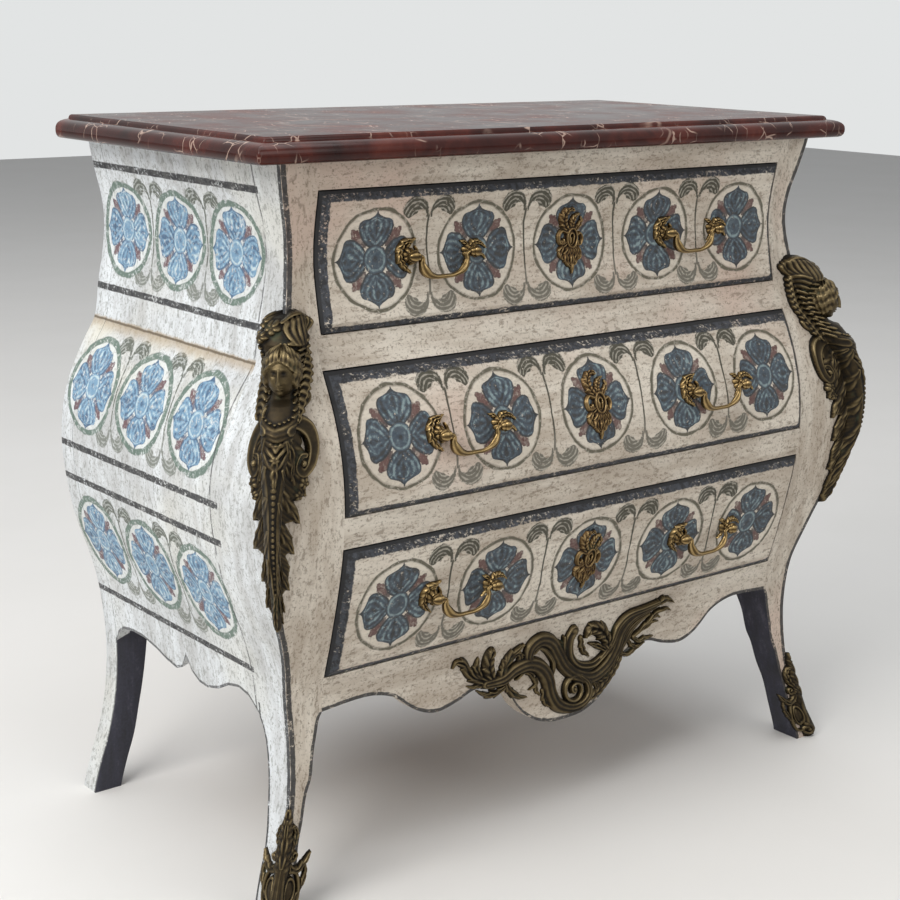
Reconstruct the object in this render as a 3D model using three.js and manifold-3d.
// Bombe chest of three drawers with a marble top and gilt metal mounts.
// Millimetres, +Z up, front towards -Y, +X to the right as seen from the front.
// While the chest is built, depth is measured forwards from the back plane, so a depth d lies at y = -d.

import * as THREE from 'three';
import { mergeVertices } from 'three/addons/utils/BufferGeometryUtils.js';
import Module from 'manifold-3d';

const wasm = await Module();
wasm.setup();

// Overall sizes
const overallHeight = 840;
const seatGap = 0.3;
const overrun = 60;

// Marble top
const marbleThickness = 26.4;
const marbleSideOverhang = 18.4;
const marbleFrontOverhang = 3;
const marbleEdgeReach = 21.9;

// Case, measured at its waist and its belly
const caseHeight = overallHeight - marbleThickness - seatGap;
const waistHalfWidth = 380;
const bellyHalfWidth = 447;
const waistDepth = 398;
const bellyDepth = 465;

// Case members
const rearStileDepth = 30;
const rearStileWidth = 28;
const frontStileDepth = 36;
const upperFrontStileWidth = 31.5;
const lowerFrontStileWidth = 24.5;
const sidePanelThickness = 18;
const backPanelThickness = 6;
const backPanelInset = 2;
const backPanelFoot = 236;
const railHeight = 34.5;
const railReachBehindStile = 22;
const topRailHeight = 29.8;
const topRailDepth = 12;
const rearRailHeight = 32;
const apronTop = 260.5;
const apronThickness = 20.5;
const frontArchHeight = 223.5;
const frontLegFootWidth = 22.6;
const frontLegFootDepth = 41.9;
const sideArchHeight = 228;
const rearLegFootWidth = 36.6;
const rearLegJoinHeight = 225;
const bottomBoardThickness = 12;

// Drawers
const openingGap = 1.5;
const frontProud = 8;
const frontChamfer = 10;
const frontThickness = 20;
const drawerSideThickness = 12;
const drawerSideInset = 4;
const drawerSideDrop = 14;
const drawerBackDepth = 45;
const drawerBackThickness = 10;
const drawerBackDrop = 32;
const drawerBottomThickness = 6;
const drawerBottomRaise = 8;

// Drawer runners, an L in section
const runnerLedgeWidth = 22;
const runnerLedgeThickness = 12;
const runnerGuideThickness = 10;
const runnerGuideHeight = 24;

// Handles
const handlePlaces = 192;
const handlePostSpacing = 82;
const handleStandOff = 14;
const handleStemRadius = 4;
const handleHeadRadius = 6.5;
const handlePinRadius = 2.3;
const handlePinClearance = 0.7;
const handlePinReach = 4;
const handleLeafHalfWidth = 14;
const handleLeafHalfHeight = 18;
const handleLeafThickness = 3;
const bailHalfWidth = 30;
const bailDrop = 24;
const bailSwellRadius = 4.6;

// Escutcheons
const escutcheonHalfWidth = 27;
const escutcheonHalfHeight = 38;
const escutcheonThickness = 4;
const escutcheonEyeRadius = 4;

// Corner mounts, which lie over the front corners from the crest down to the leaf tip
const cornerMountDrop = 150.3;
const cornerMountLength = 329;
const cornerMountStandOff = 34;
const cornerMountEdge = 3;
const maskDrop = 205.3;
const maskHalfWidth = 17.5;
const maskHalfHeight = 24.5;
const maskHalfDepth = 20.5;
const maskStandOff = 18;
const shoulderDrop = 285;
const shoulderHalfHeight = 23;
const shoulderTubeRadius = 4.5;

// Apron mount
const apronMountHalfLength = 182;
const apronMountHalfHeight = 60;
const apronMountDrop = 69.5;
const apronMountThickness = 5;
const scrollTubeRadius = 6;

// Foot mounts on the front legs
const sabotTop = 138;
const sabotFoot = 2;
const sabotHalfWidth = 27;
const sabotStandOff = 13;
const sabotEdge = 2;

// Half-width of the case at each height: [height share of the case, share from waist to belly]
const sideSwellShares = [
  [0, 0.83], [0.042, 0.69], [0.097, 0.46], [0.163, 0.3], [0.232, 0.255], [0.29, 0.313],
  [0.333, 0.388], [0.383, 0.552], [0.428, 0.746], [0.468, 0.866], [0.524, 0.97], [0.565, 1],
  [0.601, 0.963], [0.64, 0.866], [0.678, 0.672], [0.7166, 0.418], [0.739, 0.235], [0.742, 0.22],
  [0.787, 0.172], [0.833, 0.06], [0.875, 0], [0.912, 0.03], [0.951, 0.149], [1, 0.27],
];

// Depth of the case at each height, written the same way
const frontSwellShares = [
  [0, 0.73], [0.049, 0.6], [0.1, 0.49], [0.144, 0.425], [0.184, 0.38], [0.233, 0.336],
  [0.291, 0.343], [0.322, 0.4], [0.358, 0.537], [0.391, 0.642], [0.429, 0.761], [0.467, 0.866],
  [0.508, 0.955], [0.554, 1], [0.596, 0.978], [0.632, 0.91], [0.67, 0.776], [0.707, 0.582],
  [0.74, 0.373], [0.774, 0.224], [0.811, 0.119], [0.857, 0.015], [0.885, 0], [0.919, 0.045],
  [0.949, 0.119], [1, 0.239],
];

// Heights of the drawers, as shares of the height that the rails and gaps leave them
const bottomDrawerShare = 0.34;
const middleDrawerShare = 0.33;
const topDrawerShare = 0.33;

// Front leg seen from the front: [share of the arch height, share of the foot's width]
const frontLegShares = [
  [0, 1], [0.18, 0.93], [0.35, 0.745], [0.447, 0.825], [0.582, 0.94], [0.662, 1.2], [0.783, 1.34],
  [0.895, 1.64], [0.968, 2.58],
];

// Lower edge of the front apron, half of it: [share of the way from the middle to the stile, share of the arch height]
const frontApronShares = [
  [0.871, 1], [0.796, 0.993], [0.717, 0.95], [0.639, 0.855], [0.558, 0.81], [0.471, 0.832], [0.392, 0.872],
  [0.309, 0.855], [0.248, 0.792], [0.209, 0.7], [0.151, 0.62], [0.076, 0.573], [0, 0.564],
];

// Front leg seen from the side, written as for its front
const sideLegShares = [
  [0, 1], [0.175, 0.92], [0.307, 0.895], [0.482, 0.99], [0.684, 1.07], [0.816, 1.18], [0.912, 1.44],
];

// Lower edge of the side panel: [share of the way from rear stile to front stile, share of the arch height]
const sideApronShares = [
  [0, 0.86], [0.023, 0.917], [0.068, 0.956], [0.147, 0.974], [0.226, 0.974], [0.305, 0.952],
  [0.384, 0.92], [0.452, 0.904], [0.497, 0.93], [0.533, 1.013], [0.56, 0.939], [0.61, 0.9],
  [0.663, 0.895], [0.741, 0.925], [0.813, 0.978], [0.881, 1], [0.943, 0.982],
];

// Rear leg seen from the front: [share of the height where it meets the stile, share of the foot's width]
const rearLegShares = [[0, 1], [0.26, 1.01], [0.48, 0.96], [0.8, 1.1], [1, 1.31]];

// Moulded edge of the marble: [share of the edge reach, share of the thickness from the underside]
const marbleEdgeShares = [
  [0.62, 0], [0.86, 0.05], [0.98, 0.2], [1, 0.38], [0.93, 0.56], [0.76, 0.7],
  [0.5, 0.79], [0.2, 0.83], [0.2, 0.88], [0.12, 0.96], [0, 1],
];

// Handle bail from its pin to its lowest point: [share of its half-width, share of its drop]
const bailShares = [[1.18, 0], [1.08, -0.02], [1, -0.12], [0.97, -0.36], [0.8, -0.7], [0.44, -0.94], [0, -1]];

// Leafy back plate of a handle post, one quarter: [share of half-width, share of half-height]
const handleLeafShares = [[1, 0], [0.84, 0.26], [0.62, 0.3], [0.7, 0.56], [0.42, 0.66], [0.24, 0.86], [0, 1]];

// Escutcheon, its right half from the top: [share of half-width, share of half-height]
const escutcheonShares = [
  [0, 1], [0.26, 0.95], [0.42, 0.8], [0.3, 0.62], [0.62, 0.55], [0.98, 0.32], [0.8, 0.05],
  [1, -0.22], [0.72, -0.5], [0.4, -0.6], [0.3, -0.84], [0, -1],
];

// Height of the escutcheon's eye above its middle, as a share of its half-height
const escutcheonEyeRiseShare = 0.33;

// Thickness of the bail's swellings from front to back, as a share of their width
const bailSwellFlatShare = 0.5;

// Corner mount from foot to crest, in shares of height, stile width and stand-off, a power of roundness, a front turn
const cornerMountShares = [
  [0, 0.09, 0.22, 1.3, 0], [0.035, 0.16, 0.26, 1.3, 0.1], [0.07, 0.17, 0.26, 1.3, 0.15], [0.1, 0.11, 0.24, 1.3, 0.2],
  [0.15, 0.2, 0.24, 1.3, 0.25], [0.19, 0.15, 0.25, 1.3, 0.25], [0.24, 0.25, 0.29, 1.3, 0.28],
  [0.29, 0.19, 0.34, 1.3, 0.28], [0.34, 0.28, 0.4, 1.3, 0.28], [0.39, 0.22, 0.46, 1.3, 0.28],
  [0.44, 0.35, 0.54, 1.4, 0.27], [0.49, 0.28, 0.6, 1.5, 0.24], [0.54, 0.42, 0.64, 1.6, 0.2],
  [0.6, 0.5, 0.68, 1.7, 0.15], [0.66, 0.56, 0.7, 1.8, 0.1], [0.7, 0.54, 0.68, 2, 0.04],
  [0.75, 0.64, 0.56, 2.2, -0.05], [0.79, 0.74, 0.6, 2.4, -0.1], [0.835, 0.8, 0.74, 2.4, -0.12],
  [0.88, 0.8, 0.84, 2.4, -0.1], [0.92, 0.88, 0.76, 2.6, -0.05], [0.945, 0.92, 0.5, 2.6, 0], [0.97, 0.94, 0.46, 2.6, 0],
  [1, 0.84, 0.3, 2.6, 0],
];

// Scroll on each shoulder, from the ridge out and back into its curl: [share of stile width, share of half-height]
const shoulderScrollShares = [[0.1, 1], [0.34, 0.9], [0.52, 0.5], [0.57, 0], [0.5, -0.5], [0.38, -0.62], [0.3, -0.3]];

// Leaf boss that fills the curl, its place and its size: [share of stile width, share of the scroll's half-height]
const shoulderBossPlaceShares = [0.34, 0.1];
const shoulderBossSizeShares = [0.2, 0.74];

// Foot mount from the floor to its thin tail, written the same way
const sabotShares = [
  [0, 0.9, 0.62, 2, 0], [0.05, 1, 1, 2.4, 0], [0.12, 0.98, 1, 2.4, 0], [0.2, 0.86, 0.72, 2.2, 0],
  [0.34, 0.8, 0.56, 2, 0], [0.48, 0.86, 0.5, 2, 0], [0.58, 0.7, 0.42, 1.8, 0], [0.66, 0.36, 0.34, 1.6, 0],
  [0.82, 0.2, 0.26, 1.5, 0], [1, 0.08, 0.12, 1.4, 0],
];

// Ground of the apron mount, left leaf first along its top: [share of half-length, share of half-height]
const apronMountShares = [
  [-1, 0.56], [-0.9, 0.82], [-0.8, 0.48], [-0.72, 0.4], [-0.64, 0.9], [-0.56, 0.42], [-0.38, 0.82], [-0.23, 0.92],
  [-0.12, 0.8], [-0.03, 0.62], [0.05, 0.92], [0.13, 0.74], [0.26, 0.86], [0.4, 0.62], [0.56, 0.92], [0.78, 0.99],
  [1, 0.9], [0.87, 0.5], [0.84, 0.1], [0.66, -0.06], [0.5, -0.18], [0.38, -0.4], [0.31, -0.66], [0.25, -0.54],
  [0.21, -0.92], [0.1, -1], [-0.02, -0.98], [-0.12, -0.76], [-0.18, -0.4], [-0.32, -0.12], [-0.46, 0.02],
  [-0.6, -0.2], [-0.78, 0], [-0.76, 0.26], [-0.88, 0.4],
];

// Raised scrolls of the apron mount, each a curve: [share of half-length, share of half-height]
const apronScrollShares = [
  [[-0.7, 0.13], [-0.45, 0.27], [-0.33, 0.3], [-0.2, 0.1], [-0.15, -0.3], [0.02, -0.84], [0.17, -0.74], [0.17, -0.36]],
  [
    [-0.3, 0.24], [-0.32, 0.6], [-0.2, 0.74], [-0.07, 0.34], [0.08, -0.2], [0.24, -0.34], [0.38, -0.14],
    [0.5, 0.44], [0.76, 0.8],
  ],
  [[0.06, 0.76], [0.02, 0.5], [0.08, 0.1], [0.22, -0.1], [0.34, 0.06]],
  [[0.41, -0.14], [0.52, 0.16], [0.62, 0.5], [0.84, 0.76]],
];

// Counts that set how finely curves are cut
const caseLevels = 38;
const mountContourSteps = 8;
const tubeHalfSides = 3;
const bailSteps = 20;
const scrollSteps = 12;
const shoulderSteps = 7;
const headSegments = 8;

// Smooth value of a table of shares at a given share
function smoothShare(table, at) {
  let row = 0;
  while (row < table.length - 2 && table[row + 1][0] < at) {
    row += 1;
  }
  const slope = (index) => {
    const low = table[Math.max(index - 1, 0)];
    const high = table[Math.min(index + 1, table.length - 1)];
    return (high[1] - low[1]) / (high[0] - low[0]);
  };
  const [fromShare, fromValue] = table[row];
  const [toShare, toValue] = table[row + 1];
  const span = toShare - fromShare;
  const t = THREE.MathUtils.clamp((at - fromShare) / span, 0, 1);
  const rise = slope(row) * span;
  const fall = slope(row + 1) * span;
  const square = t * t;
  const cube = square * t;
  return (2 * cube - 3 * square + 1) * fromValue + (cube - 2 * square + t) * rise
    + (3 * square - 2 * cube) * toValue + (cube - square) * fall;
}

function evenSteps(from, to, steps) {
  return Array.from({ length: steps + 1 }, (_, index) => from + ((to - from) * index) / steps);
}

// Every swelling face is cut flat between the same levels, so that neighbours meet
const caseLevelHeights = evenSteps(0, caseHeight, caseLevels);
const caseLevelShares = [sideSwellShares, frontSwellShares].map(
  (table) => caseLevelHeights.map((height) => smoothShare(table, height / caseHeight)),
);

function levelShareAt(shares, height) {
  const at = THREE.MathUtils.clamp(height / caseHeight, 0, 1) * caseLevels;
  const low = Math.min(Math.floor(at), caseLevels - 1);
  return THREE.MathUtils.lerp(shares[low], shares[low + 1], at - low);
}

function levelsBetween(from, to) {
  const inside = caseLevelHeights.filter((height) => height > from + seatGap && height < to - seatGap);
  return [from, ...inside, to];
}

function caseHalfWidthAt(height) {
  const share = levelShareAt(caseLevelShares[0], height);
  return waistHalfWidth + share * (bellyHalfWidth - waistHalfWidth);
}

function caseDepthAt(height) {
  const share = levelShareAt(caseLevelShares[1], height);
  return waistDepth + share * (bellyDepth - waistDepth);
}

function frontFaceDepthAt(height) {
  return caseDepthAt(height) + frontProud;
}

// Least and greatest reach of the case, which its members and cuts are set from
const caseHalfWidths = caseLevelHeights.map(caseHalfWidthAt);
const caseDepths = caseLevelHeights.map(caseDepthAt);
const leastHalfWidth = Math.min(...caseHalfWidths);
const leastDepth = Math.min(...caseDepths);
const cutHalfWidth = Math.max(...caseHalfWidths) + overrun;
const cutDepth = Math.max(...caseDepths) + overrun;

// Closed solid through level rings of points, each ring counter-clockwise seen from above
function loft(rings) {
  const count = rings[0].length;
  const positions = rings.flat().flatMap((point) => [point.x, point.y, point.z]);
  const faces = [];
  for (let level = 0; level < rings.length - 1; level += 1) {
    for (let side = 0; side < count; side += 1) {
      const next = (side + 1) % count;
      const a = level * count + side;
      const b = level * count + next;
      faces.push(a, b, b + count, a, b + count, a + count);
    }
  }
  const capOf = (ring) => THREE.ShapeUtils.triangulateShape(
    ring.map((point) => new THREE.Vector2(point.x, point.y)),
    [],
  );
  const last = (rings.length - 1) * count;
  capOf(rings[0]).forEach(([a, b, c]) => faces.push(a, c, b));
  capOf(rings[rings.length - 1]).forEach(([a, b, c]) => faces.push(last + a, last + b, last + c));
  const geometry = new THREE.BufferGeometry();
  geometry.setAttribute('position', new THREE.Float32BufferAttribute(positions, 3));
  geometry.setIndex(faces);
  return geometry;
}

function solidOf(geometry) {
  const bare = geometry.clone();
  bare.deleteAttribute('normal');
  bare.deleteAttribute('uv');
  const merged = mergeVertices(bare);
  return new wasm.Manifold(new wasm.Mesh({
    numProp: 3,
    vertProperties: new Float32Array(merged.attributes.position.array),
    triVerts: new Uint32Array(merged.index.array),
  }));
}

// The largest body of a cut solid, as a geometry
function geometryOf(solid) {
  const bodies = solid.decompose();
  const largest = bodies.reduce((best, body) => (body.volume() > best.volume() ? body : best));
  const mesh = largest.getMesh();
  const geometry = new THREE.BufferGeometry();
  geometry.setAttribute('position', new THREE.Float32BufferAttribute(mesh.vertProperties, 3));
  geometry.setIndex(new THREE.Uint32BufferAttribute(mesh.triVerts, 1));
  geometry.computeVertexNormals();
  return geometry;
}

// Box between two widths, two depths and two heights
function boxSolid([x0, x1], [d0, d1], [z0, z1]) {
  const box = new THREE.BoxGeometry(x1 - x0, d1 - d0, z1 - z0);
  box.translate((x0 + x1) / 2, -(d0 + d1) / 2, (z0 + z1) / 2);
  return solidOf(box);
}

function shapeOf(points) {
  return new THREE.Shape(points.map(([a, b]) => new THREE.Vector2(a, b)));
}

// Outline in width and height, run from one depth to another
function prismAlongDepth(points, fromDepth, toDepth) {
  const geometry = new THREE.ExtrudeGeometry(shapeOf(points), {
    depth: toDepth - fromDepth,
    bevelEnabled: false,
    steps: 1,
  });
  geometry.rotateX(Math.PI / 2);
  geometry.translate(0, -fromDepth, 0);
  return solidOf(geometry);
}

// Outline in depth and height, run across the whole width of the chest
function prismAcross(points) {
  const geometry = new THREE.ExtrudeGeometry(shapeOf(points), {
    depth: cutHalfWidth * 2,
    bevelEnabled: false,
    steps: 1,
  });
  geometry.applyMatrix4(new THREE.Matrix4().set(0, 0, -1, cutHalfWidth, -1, 0, 0, 0, 0, 1, 0, 0, 0, 0, 0, 1));
  return solidOf(geometry);
}

// The swelling case as one block, grown outwards at its sides and its front
function caseBlock(sideGrow, frontGrow) {
  const rings = caseLevelHeights.map((height) => {
    const x = caseHalfWidthAt(height) + sideGrow;
    const depth = caseDepthAt(height) + frontGrow;
    return [[-x, 0], [-x, depth], [x, depth], [x, 0]].map(([px, pd]) => new THREE.Vector3(px, -pd, height));
  });
  return solidOf(loft(rings));
}

const caseSolid = caseBlock(0, 0);
const caseClearance = caseBlock(seatGap, seatGap);
const frontClearance = caseBlock(seatGap, frontProud + seatGap);

// Heights of the drawers and rails, from the apron upwards
const drawersHeight = caseHeight - apronTop - topRailHeight - railHeight * 2 - openingGap * 6;
const bottomDrawerFoot = apronTop + openingGap;
const lowerRailFoot = bottomDrawerFoot + bottomDrawerShare * drawersHeight + openingGap;
const lowerRailTop = lowerRailFoot + railHeight;
const middleDrawerFoot = lowerRailTop + openingGap;
const upperRailFoot = middleDrawerFoot + middleDrawerShare * drawersHeight + openingGap;
const upperRailTop = upperRailFoot + railHeight;
const topRailFoot = caseHeight - topRailHeight;

// Front stiles beside the drawers, and the drawers between them
const frontStileBack = leastDepth - frontStileDepth;
const upperStileInner = leastHalfWidth - upperFrontStileWidth;
const lowerStileInner = leastHalfWidth - lowerFrontStileWidth;
const topDrawerHalfWidth = upperStileInner - openingGap;
const lowerDrawerHalfWidth = lowerStileInner - openingGap;
const rearStileInner = leastHalfWidth - rearStileWidth;
const railBack = frontStileBack - railReachBehindStile;
const topRailBack = leastDepth - topRailDepth;
const apronBack = Math.min(...levelsBetween(0, apronTop).map(caseDepthAt)) - apronThickness;

// Openings between the legs, whose edges follow the swell of the case
const frontArchEdge = [
  ...frontLegShares.map(([z, width]) => {
    const height = z * frontArchHeight;
    return [caseHalfWidthAt(height) - width * frontLegFootWidth, height];
  }),
  ...frontApronShares.map(([x, z]) => [x * lowerStileInner, z * frontArchHeight]),
];
const frontArchFoot = frontArchEdge[0][0];
const frontArch = prismAlongDepth(
  [
    ...frontArchEdge,
    ...frontArchEdge.slice(0, -1).reverse().map(([x, z]) => [-x, z]),
    [-frontArchFoot, -overrun],
    [frontArchFoot, -overrun],
  ],
  rearStileDepth + overrun,
  cutDepth,
);

const sideArchEdge = [
  ...sideApronShares.map(([d, z]) => [
    rearStileDepth + d * (frontStileBack - rearStileDepth),
    z * sideArchHeight,
  ]),
  ...sideLegShares.slice().reverse().map(([z, width]) => {
    const height = z * sideArchHeight;
    return [caseDepthAt(height) - width * frontLegFootDepth, height];
  }),
];
const sideArch = prismAcross([
  [rearStileDepth, -overrun],
  ...sideArchEdge,
  [sideArchEdge[sideArchEdge.length - 1][0], -overrun],
]);

function rearLegOpening(side) {
  const edge = rearLegShares.map(([z, width]) => {
    const height = z * rearLegJoinHeight;
    return [side * (caseHalfWidthAt(height) - width * rearLegFootWidth), height];
  });
  const inner = side * (rearStileInner - overrun);
  const points = [
    ...edge,
    [inner, rearLegJoinHeight],
    [inner, -overrun],
    [edge[0][0], -overrun],
  ];
  return prismAlongDepth(points, -overrun, rearStileDepth + overrun);
}

// Materials
const paints = {
  painted: { color: 0xcfcabd, roughness: 0.75, metalness: 0 },
  bareWood: { color: 0x9a7650, roughness: 0.8, metalness: 0 },
  marble: { color: 0x5a211d, roughness: 0.2, metalness: 0 },
  bronze: { color: 0x6d5c37, roughness: 0.45, metalness: 0.9 },
};

function piece(name, geometry, paint, place = new THREE.Vector3()) {
  const mesh = new THREE.Mesh(geometry, new THREE.MeshStandardMaterial(paints[paint]));
  mesh.name = name;
  geometry.translate(-place.x, -place.y, -place.z);
  mesh.position.copy(place);
  return mesh;
}

const sides = [['left', -1], ['right', 1]];

// Marble top with its edge moulded at the front and both ends
function marbleTop() {
  const foot = caseHeight + seatGap;
  const rings = marbleEdgeShares.map(([reach, rise]) => {
    const out = reach * marbleEdgeReach;
    const x = caseHalfWidthAt(caseHeight) + marbleSideOverhang + out;
    const depth = caseDepthAt(caseHeight) + marbleFrontOverhang + out;
    const height = foot + rise * marbleThickness;
    return [[-x, 0], [-x, depth], [x, depth], [x, 0]].map(([px, pd]) => new THREE.Vector3(px, -pd, height));
  });
  return piece('marble_top', geometryOf(solidOf(loft(rings))), 'marble');
}

// Front stile and leg in one piece, with the corner ridge down its whole length
function frontStile(name, side) {
  const across = [side * upperStileInner, side * cutHalfWidth].sort((a, b) => a - b);
  const lowerCut = [side * (upperStileInner - overrun), side * lowerStileInner].sort((a, b) => a - b);
  const depths = [frontStileBack, cutDepth];
  const stile = caseSolid
    .intersect(boxSolid(across, depths, [-overrun, caseHeight + overrun]))
    .subtract(boxSolid(lowerCut, depths, [-overrun, upperRailTop]))
    .subtract(frontArch)
    .subtract(sideArch);
  return piece(`front_${name}_stile_and_leg`, geometryOf(stile), 'painted');
}

function rearStile(name, side) {
  const across = [side * rearStileInner, side * cutHalfWidth].sort((a, b) => a - b);
  const stile = caseSolid
    .intersect(boxSolid(across, [0, rearStileDepth], [-overrun, caseHeight + overrun]))
    .subtract(rearLegOpening(side));
  return piece(`rear_${name}_stile_and_leg`, geometryOf(stile), 'painted');
}

// Bent side panel between the stiles, with its shaped lower edge
function sidePanel(name, side) {
  const near = rearStileDepth + seatGap;
  const far = frontStileBack - seatGap;
  const foot = sideArchHeight * sideApronShares[0][1] - overrun;
  const rings = levelsBetween(foot, caseHeight).map((height) => {
    const outer = caseHalfWidthAt(height);
    const inner = outer - sidePanelThickness;
    const [low, high] = side > 0 ? [inner, outer] : [-outer, -inner];
    return [[low, near], [low, far], [high, far], [high, near]]
      .map(([px, pd]) => new THREE.Vector3(px, -pd, height));
  });
  const panel = solidOf(loft(rings)).subtract(sideArch);
  return piece(`${name}_side_panel`, geometryOf(panel), 'painted');
}

// Rail across the front, its front edge on the swell of the case
function frontRail(name, stileInner, backDepth, foot, top) {
  const halfWidth = stileInner - seatGap;
  const rail = caseSolid.intersect(
    boxSolid([-halfWidth, halfWidth], [backDepth, cutDepth], [foot, top]),
  );
  return piece(name, geometryOf(rail), 'painted');
}

function frontApron() {
  const halfWidth = lowerStileInner - seatGap;
  const apron = caseSolid
    .intersect(boxSolid([-halfWidth, halfWidth], [apronBack, cutDepth], [0, apronTop]))
    .subtract(frontArch);
  return piece('front_apron', geometryOf(apron), 'painted');
}

function backPanel() {
  const halfWidth = rearStileInner - seatGap;
  const depths = [backPanelInset, backPanelInset + backPanelThickness];
  const panel = boxSolid([-halfWidth, halfWidth], depths, [backPanelFoot, caseHeight]);
  return piece('back_panel', geometryOf(panel), 'bareWood');
}

function rearTopRail() {
  const halfWidth = rearStileInner - seatGap;
  const depths = [backPanelInset + backPanelThickness + seatGap, rearStileDepth];
  const rail = boxSolid([-halfWidth, halfWidth], depths, [caseHeight - rearRailHeight, caseHeight]);
  return piece('rear_top_rail', geometryOf(rail), 'bareWood');
}

// Bottom board, notched round the four stiles
function bottomBoard() {
  const foot = apronTop - bottomBoardThickness;
  const rearHalf = rearStileInner - seatGap;
  const middleHalf = caseHalfWidthAt(foot) - sidePanelThickness - seatGap;
  const frontHalf = lowerStileInner - seatGap;
  const rear = backPanelInset + backPanelThickness + seatGap;
  const half = [
    [rearHalf, rear],
    [rearHalf, rearStileDepth + seatGap],
    [middleHalf, rearStileDepth + seatGap],
    [middleHalf, frontStileBack - seatGap],
    [frontHalf, frontStileBack - seatGap],
    [frontHalf, apronBack - seatGap],
  ];
  const outline = [...half, ...half.slice().reverse().map(([x, d]) => [-x, d])];
  const board = new THREE.ExtrudeGeometry(shapeOf(outline.map(([x, d]) => [x, -d])), {
    depth: bottomBoardThickness,
    bevelEnabled: false,
    steps: 1,
  });
  board.translate(0, 0, foot);
  return piece('bottom_board', geometryOf(solidOf(board)), 'bareWood');
}

// Runner that carries one side of a drawer and keeps it straight
function drawerRunner(name, side, level, drawerHalfWidth) {
  const guideInner = drawerHalfWidth - drawerSideInset + openingGap;
  const ledgeInner = guideInner - runnerLedgeWidth;
  const outer = guideInner + runnerGuideThickness;
  const outline = [
    [side * ledgeInner, level - runnerLedgeThickness],
    [side * outer, level - runnerLedgeThickness],
    [side * outer, level + runnerGuideHeight],
    [side * guideInner, level + runnerGuideHeight],
    [side * guideInner, level],
    [side * ledgeInner, level],
  ];
  const runner = prismAlongDepth(outline, rearStileDepth + seatGap, railBack - seatGap);
  return piece(name, geometryOf(runner), 'bareWood');
}

function drawerFrontLevels(foot, top) {
  return [foot, ...levelsBetween(foot + frontChamfer, top - frontChamfer), top];
}

// Swelling drawer front with chamfered edges that stands proud of the case
function drawerFront(name, halfWidth, foot, top) {
  const levels = drawerFrontLevels(foot, top);
  const rings = levels.map((level, index) => {
    const atEdge = index === 0 || index === levels.length - 1;
    const edgeDepth = caseDepthAt(level);
    const faceDepth = edgeDepth + (atEdge ? 0 : frontProud);
    const backDepth = edgeDepth - frontThickness;
    const faceHalf = halfWidth - frontChamfer;
    return [
      [-halfWidth, backDepth],
      [-halfWidth, edgeDepth],
      [-faceHalf, faceDepth],
      [faceHalf, faceDepth],
      [halfWidth, edgeDepth],
      [halfWidth, backDepth],
    ].map(([x, depth]) => new THREE.Vector3(x, -depth, level));
  });
  return piece(name, geometryOf(solidOf(loft(rings))), 'painted');
}

// Everything forward of the back of a drawer front, which the drawer's box is scribed to
function drawerFrontClearance(halfWidth, foot, top) {
  const levels = drawerFrontLevels(foot, top);
  const depths = levels.map((level) => caseDepthAt(level) - frontThickness - seatGap);
  const far = cutDepth + overrun;
  const rings = [foot - overrun, ...levels, top + overrun].map((level, index) => {
    const near = depths[THREE.MathUtils.clamp(index - 1, 0, depths.length - 1)];
    return [[-halfWidth, near], [-halfWidth, far], [halfWidth, far], [halfWidth, near]]
      .map(([x, depth]) => new THREE.Vector3(x, -depth, level));
  });
  return solidOf(loft(rings));
}

function drawerSide(name, side, halfWidth, level, top, clearance) {
  const outer = halfWidth - drawerSideInset;
  const inner = outer - drawerSideThickness;
  const across = [side * inner, side * outer].sort((a, b) => a - b);
  const board = boxSolid(across, [drawerBackDepth, cutDepth], [level + seatGap, top - drawerSideDrop]);
  return piece(name, geometryOf(board.subtract(clearance)), 'bareWood');
}

function drawerBack(name, halfWidth, level, top) {
  const inner = halfWidth - drawerSideInset - drawerSideThickness - seatGap;
  const depths = [drawerBackDepth, drawerBackDepth + drawerBackThickness];
  const back = boxSolid([-inner, inner], depths, [level + seatGap, top - drawerBackDrop]);
  return piece(name, geometryOf(back), 'bareWood');
}

function drawerBottom(name, halfWidth, level, clearance) {
  const inner = halfWidth - drawerSideInset - drawerSideThickness - seatGap;
  const foot = level + drawerBottomRaise;
  const back = drawerBackDepth + drawerBackThickness + seatGap;
  const board = boxSolid([-inner, inner], [back, cutDepth], [foot, foot + drawerBottomThickness]);
  return piece(name, geometryOf(board.subtract(clearance)), 'bareWood');
}

// Ornament cut from an outline, of even thickness over the swelling face behind it
function reliefSolid(points, frontGrow, thickness, clearance) {
  const prism = prismAlongDepth(points, leastDepth - overrun, cutDepth);
  return prism.intersect(caseBlock(0, frontGrow + thickness)).subtract(clearance);
}

function fourfold(quarter) {
  const right = [...quarter.slice().reverse(), ...quarter.slice(1).map(([x, z]) => [x, -z])];
  return [...right, ...right.slice(1, -1).reverse().map(([x, z]) => [-x, z])];
}

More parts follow.
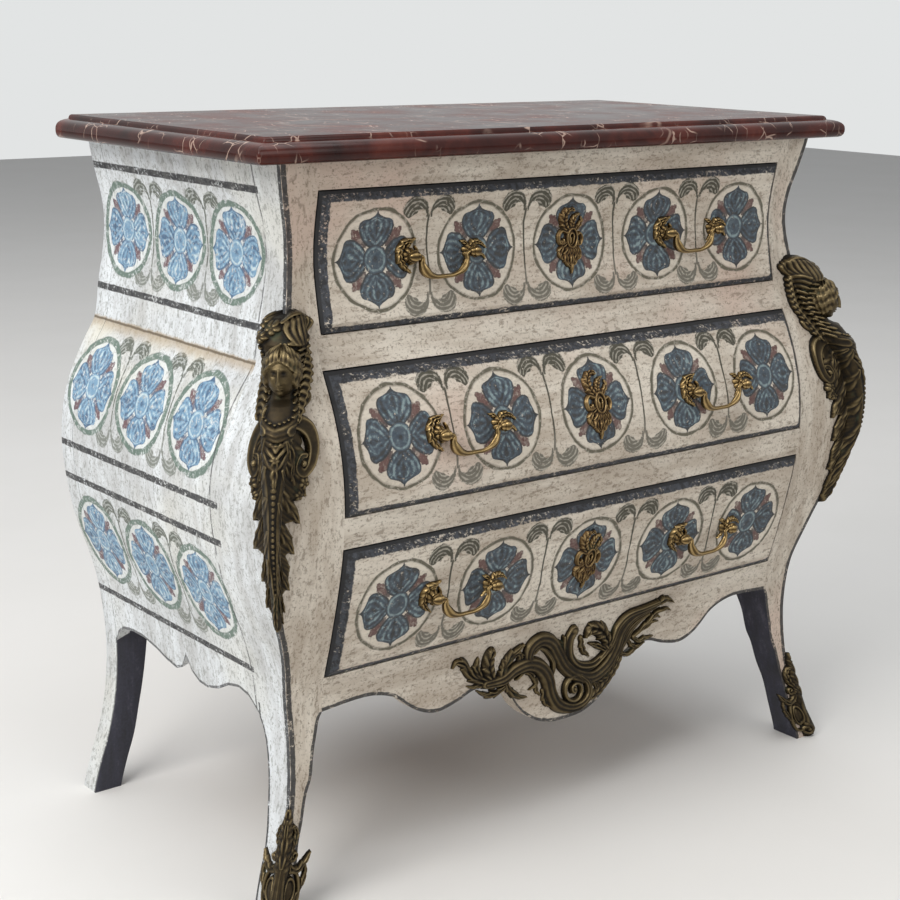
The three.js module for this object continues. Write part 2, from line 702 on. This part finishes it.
// Handle post: a leafy plate, a stem and a head drilled for the bail's pin
function handlePost(name, x, height, towardsMiddle) {
  const pivotDepth = frontFaceDepthAt(height) + handleStandOff;
  const outline = fourfold(handleLeafShares)
    .map(([u, v]) => [x + u * handleLeafHalfWidth, height + v * handleLeafHalfHeight]);
  const plate = reliefSolid(outline, frontProud, handleLeafThickness, frontClearance);
  const stem = new THREE.CylinderGeometry(handleStemRadius, handleStemRadius, handleStandOff * 2, headSegments);
  stem.translate(x, -(pivotDepth - handleStandOff), height);
  const head = new THREE.SphereGeometry(handleHeadRadius, headSegments, headSegments - 2);
  head.translate(x, -pivotDepth, height);
  const hole = new THREE.CylinderGeometry(
    handlePinRadius + handlePinClearance,
    handlePinRadius + handlePinClearance,
    handleHeadRadius * 2,
    headSegments,
  );
  hole.rotateZ(Math.PI / 2);
  hole.translate(x + towardsMiddle * (handleHeadRadius * 2 - handlePinReach - seatGap), -pivotDepth, height);
  const post = plate
    .add(solidOf(stem).subtract(frontClearance))
    .add(solidOf(head))
    .subtract(solidOf(hole));
  return piece(name, geometryOf(post), 'bronze', new THREE.Vector3(x, -pivotDepth, height));
}

// Bail, hanging from two pins in line with its hinge
function handleBail(name, x, height) {
  const pivotDepth = frontFaceDepthAt(height) + handleStandOff;
  const pinEnd = handlePostSpacing / 2 - handleHeadRadius + handlePinReach;
  const halfPath = bailShares.map(([u, v]) => new THREE.Vector3(u * bailHalfWidth, 0, v * bailDrop));
  const rightPath = [new THREE.Vector3(pinEnd, 0, 0), ...halfPath];
  const leftPath = rightPath.slice(0, -1).reverse().map((point) => new THREE.Vector3(-point.x, 0, point.z));
  const curve = new THREE.CatmullRomCurve3([...rightPath, ...leftPath]);
  const section = new THREE.Shape();
  section.absarc(0, 0, handlePinRadius, 0, Math.PI * 2);
  const tube = new THREE.ExtrudeGeometry(section, {
    extrudePath: curve,
    steps: bailSteps,
    curveSegments: tubeHalfSides,
    bevelEnabled: false,
  });
  let bail = solidOf(tube);
  sides.forEach(([, side]) => {
    const swell = new THREE.SphereGeometry(bailSwellRadius, headSegments, headSegments - 2);
    swell.scale(1, bailSwellFlatShare, 1);
    const [u, v] = bailShares[bailShares.length - 3];
    swell.translate(side * u * bailHalfWidth, 0, v * bailDrop);
    bail = bail.add(solidOf(swell));
  });
  const mesh = piece(name, geometryOf(bail), 'bronze');
  mesh.position.set(x, -pivotDepth, height);
  return mesh;
}

// Pierced plate in the middle of a drawer front
function escutcheon(name, height) {
  const right = escutcheonShares;
  const left = right.slice(1, -1).reverse().map(([x, z]) => [-x, z]);
  const outline = [...right, ...left]
    .map(([u, v]) => [u * escutcheonHalfWidth, height + v * escutcheonHalfHeight])
    .reverse();
  const eye = new THREE.CylinderGeometry(escutcheonEyeRadius, escutcheonEyeRadius, overrun * 2, headSegments);
  eye.translate(0, -frontFaceDepthAt(height), height + escutcheonEyeRiseShare * escutcheonHalfHeight);
  const plate = reliefSolid(outline, frontProud, escutcheonThickness, frontClearance).subtract(solidOf(eye));
  return piece(name, geometryOf(plate), 'bronze');
}

// Casting that wraps a front corner: its section spans both faces and swells out over the ridge
function cornerCasting(shares, side, foot, top, widthAt, standOff, edge) {
  const rings = shares.map(([rise, widthShare, standShare, power, turnShare]) => {
    const height = foot + rise * (top - foot);
    const ridgeX = caseHalfWidthAt(height);
    const ridgeDepth = caseDepthAt(height);
    const wing = widthShare * widthAt(height);
    const stand = standShare * standOff;
    const toFront = 1 + turnShare;
    const toSide = 1 - turnShare;
    const contour = evenSteps(-1, 1, mountContourSteps).map((u) => {
      const swell = 1 - Math.abs(u) ** power;
      const alongFront = Math.max(-u, 0) * wing * toFront;
      const alongSide = Math.max(u, 0) * wing * toSide;
      const outSide = edge + (stand * toSide - edge) * swell;
      const outFront = edge + (stand * toFront - edge) * swell;
      return [ridgeX + outSide - alongFront, ridgeDepth + outFront - alongSide];
    });
    const ring = [...contour, [ridgeX - wing * toFront, ridgeDepth - wing * toSide]];
    return ring.map(([x, depth]) => new THREE.Vector3(side * x, -depth, height));
  });
  const ordered = side > 0 ? rings : rings.map((ring) => ring.slice().reverse());
  return solidOf(loft(ordered));
}

function stileWidthAt(height) {
  return caseHalfWidthAt(height) - lowerStileInner;
}

// Point on one face of a corner, a reach away from the ridge and a little proud of the face
function cornerFacePoint(side, onFront, reach, height, proud) {
  const x = caseHalfWidthAt(height) + (onFront ? -reach : proud);
  const depth = caseDepthAt(height) + (onFront ? proud : -reach);
  return new THREE.Vector3(side * x, -depth, height);
}

// Scroll that springs from the ridge and curls round a leaf boss on one face of the corner
function shoulderScroll(side, onFront) {
  const middle = caseHeight - shoulderDrop;
  const points = shoulderScrollShares.map(([u, v]) => {
    const height = middle + v * shoulderHalfHeight;
    return cornerFacePoint(side, onFront, u * stileWidthAt(height), height, shoulderTubeRadius);
  });
  const section = new THREE.Shape();
  section.absarc(0, 0, shoulderTubeRadius, 0, Math.PI * 2);
  const tube = new THREE.ExtrudeGeometry(section, {
    extrudePath: new THREE.CatmullRomCurve3(points),
    steps: shoulderSteps,
    curveSegments: tubeHalfSides,
    bevelEnabled: false,
  });
  const [placeShare, riseShare] = shoulderBossPlaceShares;
  const [reachShare, heightShare] = shoulderBossSizeShares;
  const bossHeight = middle + riseShare * shoulderHalfHeight;
  const bossReach = reachShare * stileWidthAt(bossHeight);
  const boss = new THREE.SphereGeometry(1, headSegments, headSegments - 2);
  boss.scale(
    onFront ? bossReach : shoulderTubeRadius * 2,
    onFront ? shoulderTubeRadius * 2 : bossReach,
    heightShare * shoulderHalfHeight,
  );
  const place = cornerFacePoint(side, onFront, placeShare * stileWidthAt(bossHeight), bossHeight, 0);
  boss.translate(place.x, place.y, place.z);
  return solidOf(tube).add(solidOf(boss));
}

// Leafy husk with a mask under its crest and a scroll on each shoulder
function cornerMount(name, side) {
  const husk = cornerCasting(
    cornerMountShares,
    side,
    caseHeight - cornerMountDrop - cornerMountLength,
    caseHeight - cornerMountDrop,
    stileWidthAt,
    cornerMountStandOff,
    cornerMountEdge,
  );
  const maskHeight = caseHeight - maskDrop;
  const mask = new THREE.SphereGeometry(1, headSegments + 1, headSegments - 1);
  mask.scale(maskHalfWidth, maskHalfHeight, maskHalfDepth);
  mask.rotateX(Math.PI / 2);
  mask.rotateZ((side * Math.PI) / 4);
  mask.translate(
    side * (caseHalfWidthAt(maskHeight) + maskStandOff),
    -(caseDepthAt(maskHeight) + maskStandOff),
    maskHeight,
  );
  const casting = husk
    .add(solidOf(mask))
    .add(shoulderScroll(side, true))
    .add(shoulderScroll(side, false))
    .subtract(caseClearance);
  return piece(`${name}_corner_mount`, geometryOf(casting), 'bronze');
}

function footMount(name, side) {
  const widthAt = () => sabotHalfWidth;
  const boot = cornerCasting(sabotShares, side, sabotFoot, sabotTop, widthAt, sabotStandOff, sabotEdge);
  return piece(`${name}_foot_mount`, geometryOf(boot.subtract(caseClearance)), 'bronze');
}

// Asymmetric spray of leaves and scrolls in the middle of the apron
function apronMount() {
  const place = ([u, v]) => [u * apronMountHalfLength, apronTop - apronMountDrop + v * apronMountHalfHeight];
  let spray = reliefSolid(apronMountShares.map(place).reverse(), 0, apronMountThickness, caseClearance);
  apronScrollShares.forEach((scroll) => {
    const points = scroll.map((share) => {
      const [x, height] = place(share);
      return new THREE.Vector3(x, -caseDepthAt(height) - apronMountThickness, height);
    });
    const section = new THREE.Shape();
    section.absarc(0, 0, scrollTubeRadius, 0, Math.PI * 2);
    const tube = new THREE.ExtrudeGeometry(section, {
      extrudePath: new THREE.CatmullRomCurve3(points),
      steps: scrollSteps,
      curveSegments: tubeHalfSides,
      bevelEnabled: false,
    });
    spray = spray.add(solidOf(tube));
  });
  return piece('apron_mount', geometryOf(spray.subtract(caseClearance)), 'bronze');
}

// One drawer with its handles, all moving together
function drawer(name, halfWidth, level, heightShare) {
  const foot = level + openingGap;
  const height = heightShare * drawersHeight;
  const top = foot + height;
  const middle = foot + height / 2;
  const clearance = drawerFrontClearance(halfWidth, foot, top);
  const group = new THREE.Group();
  group.add(drawerFront(`${name}_drawer_front`, halfWidth, foot, top));
  sides.forEach(([sideName, side]) => {
    group.add(drawerSide(`${name}_drawer_${sideName}_side`, side, halfWidth, level, top, clearance));
  });
  group.add(drawerBack(`${name}_drawer_back`, halfWidth, level, top));
  group.add(drawerBottom(`${name}_drawer_bottom`, halfWidth, level, clearance));
  group.add(escutcheon(`${name}_drawer_escutcheon`, middle));
  sides.forEach(([sideName, side]) => {
    const handle = `${name}_${sideName}_handle`;
    const x = side * handlePlaces;
    group.add(handlePost(`${handle}_left_post`, x - handlePostSpacing / 2, middle, 1));
    group.add(handlePost(`${handle}_right_post`, x + handlePostSpacing / 2, middle, -1));
    group.add(handleBail(`${handle}_bail`, x, middle));
  });
  return group;
}

function bombeChest() {
  const chest = new THREE.Group();
  chest.add(marbleTop());
  sides.forEach(([name, side]) => {
    chest.add(frontStile(name, side));
    chest.add(rearStile(name, side));
    chest.add(sidePanel(name, side));
    chest.add(cornerMount(name, side));
    chest.add(footMount(name, side));
    chest.add(drawerRunner(`top_drawer_${name}_runner`, side, upperRailTop, topDrawerHalfWidth));
    chest.add(drawerRunner(`middle_drawer_${name}_runner`, side, lowerRailTop, lowerDrawerHalfWidth));
  });
  chest.add(backPanel());
  chest.add(rearTopRail());
  chest.add(bottomBoard());
  chest.add(frontRail('top_rail', upperStileInner, topRailBack, topRailFoot, caseHeight));
  chest.add(frontRail('upper_drawer_rail', lowerStileInner, railBack, upperRailFoot, upperRailTop));
  chest.add(frontRail('lower_drawer_rail', lowerStileInner, railBack, lowerRailFoot, lowerRailTop));
  chest.add(frontApron());
  chest.add(apronMount());
  chest.add(drawer('top', topDrawerHalfWidth, upperRailTop, topDrawerShare));
  chest.add(drawer('middle', lowerDrawerHalfWidth, lowerRailTop, middleDrawerShare));
  chest.add(drawer('bottom', lowerDrawerHalfWidth, apronTop, bottomDrawerShare));
  return chest;
}

// The origin is on the floor, under the middle of the outer box
const chest = bombeChest();
chest.updateMatrixWorld(true);
const outerBox = new THREE.Box3().setFromObject(chest, true);
chest.position.y = -(outerBox.min.y + outerBox.max.y) / 2;

export default chest;
